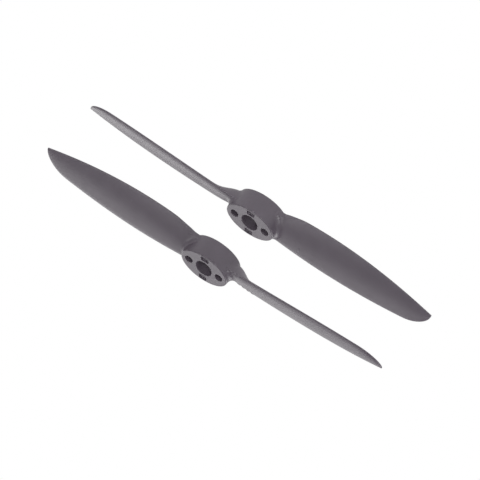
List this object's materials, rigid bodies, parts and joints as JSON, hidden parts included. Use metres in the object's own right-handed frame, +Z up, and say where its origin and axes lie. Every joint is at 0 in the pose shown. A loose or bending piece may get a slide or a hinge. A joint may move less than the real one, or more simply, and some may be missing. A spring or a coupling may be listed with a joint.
{
  "type": "drone propeller pair",
  "caption": "Handed pair of small two-bladed drone propellers in dark grey plastic, each with an oval hub, a round centre bore, two bolt holes and wide low-pitch blades.",
  "frame": {"origin": "on the resting surface, midway between the two hubs, which is the centre of the pair's footprint", "axes": "+X along the blades, +Y across them from the clockwise to the anticlockwise propeller, +Z up along both bores, towards the front faces"},
  "size_m": [0.1508, 0.055, 0.0082],
  "materials": {
    "ccw_plastic": "satin dark grey glass-filled nylon, as moulded",
    "cw_plastic": "satin dark grey glass-filled nylon, as moulded"
  },
  "bodies": {
    "ccw_propeller": {"ccw_propeller": "ccw_plastic"},
    "cw_propeller": {"cw_propeller": "cw_plastic"}
  },
  "joints": [
    {"name": "cw_lift", "type": "slide", "parent": "ccw_propeller", "child": "cw_propeller", "axis": [0, 0, 1], "range_m": [0, 0.03]}
  ]
}
